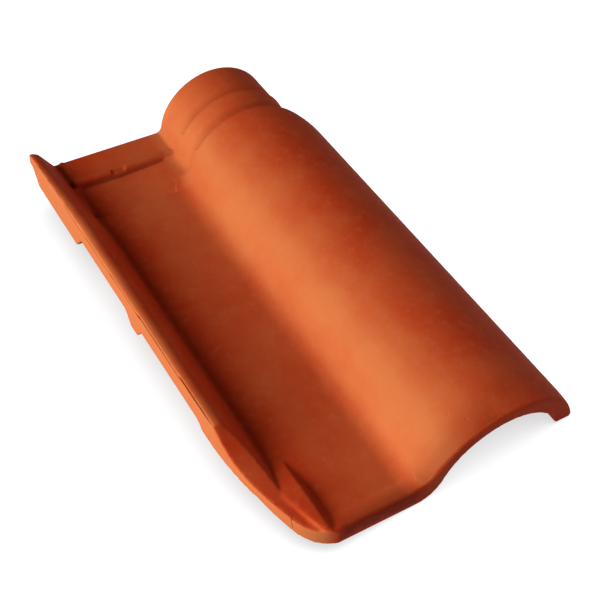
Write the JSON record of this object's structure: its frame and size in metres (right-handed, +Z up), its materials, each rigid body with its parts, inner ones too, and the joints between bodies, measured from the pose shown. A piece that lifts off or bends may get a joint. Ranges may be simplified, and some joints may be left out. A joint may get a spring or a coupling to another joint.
{
  "type": "clay roof tile",
  "caption": "Moulded terracotta interlocking roof tile with a flat water pan, raised left edge and a barrel roll that narrows to a neck at its head",
  "frame": {"origin": "centre of the tile's box on the floor it lies on, in its resting pose", "axes": "+Y runs from the foot edge to the head, +X from the raised left edge to the roll, +Z up; the tile leans 8 degrees to the right and 1.8 degrees up to the head, as it lies unheld"},
  "size_m": [0.2262, 0.4054, 0.0643],
  "materials": {
    "fired_clay": "matte"
  },
  "bodies": {
    "root": {"roof_tile": "fired_clay"}
  },
  "joints": []
}
